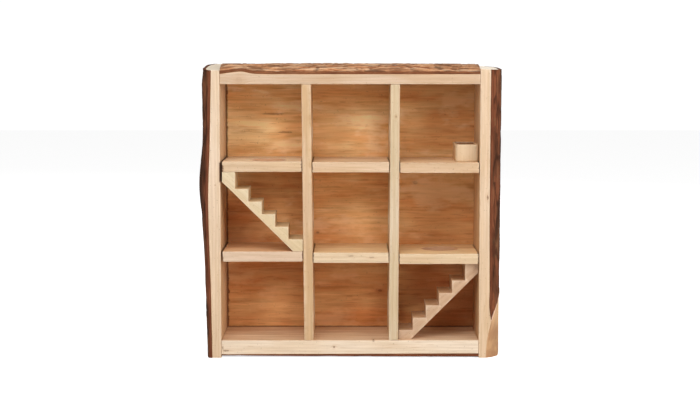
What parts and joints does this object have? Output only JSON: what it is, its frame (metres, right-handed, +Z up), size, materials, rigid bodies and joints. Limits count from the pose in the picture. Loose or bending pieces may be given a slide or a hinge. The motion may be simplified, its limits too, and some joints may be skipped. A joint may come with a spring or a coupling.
{
  "type": "hamster cage",
  "caption": "Open-fronted wooden hamster house: bark-covered slab frame, rooms on three floors, stairs up through round holes, doorways between rooms and a loose food bowl.",
  "frame": {"origin": "on the floor under the middle of the cage, between the bottom ends of the two side slabs", "axes": "+Z up; +X to the right as seen from the open front; +Y from the open front to the back panel"},
  "size_m": [0.4159, 0.12, 0.4026],
  "materials": {
    "slab_wood": "sawn, unfinished, pale pine",
    "bark": "rough red-brown bark with flaking plates",
    "board_pine": "planed pine, unfinished",
    "panel_pine": "planed pine with level grain, orange-brown",
    "stair_wood": "sawn and sanded pine",
    "bowl_wood": "sanded pine",
    "nail_steel": "bright wire nail, slightly dulled"
  },
  "bodies": {
    "cage": {"left_side_slab": "slab_wood", "left_side_bark": "bark", "right_side_slab": "slab_wood", "right_side_bark": "bark", "top_slab": "slab_wood", "top_bark": "bark", "bottom_slab": "slab_wood", "bottom_bark": "bark", "back_panel": "panel_pine", "left_divider": "board_pine", "right_divider": "board_pine", "upper_left_shelf": "board_pine", "upper_middle_shelf": "board_pine", "upper_right_shelf": "board_pine", "lower_left_shelf": "board_pine", "lower_middle_shelf": "board_pine", "lower_right_shelf": "board_pine", "upper_stair": "stair_wood", "lower_stair": "stair_wood", "left_side_nails": "nail_steel", "right_side_nails": "nail_steel", "top_nails": "nail_steel", "bottom_nails": "nail_steel", "left_divider_nails": "nail_steel", "right_divider_nails": "nail_steel", "upper_stair_nails": "nail_steel", "lower_stair_nails": "nail_steel", "back_panel_pins": "nail_steel"},
    "food_bowl": {"food_bowl": "bowl_wood"}
  },
  "joints": [
    {"name": "bowl_slide", "type": "slide", "parent": "cage", "child": "food_bowl", "axis": [0, -1, 0], "range_m": [0, 0.065]}
  ]
}
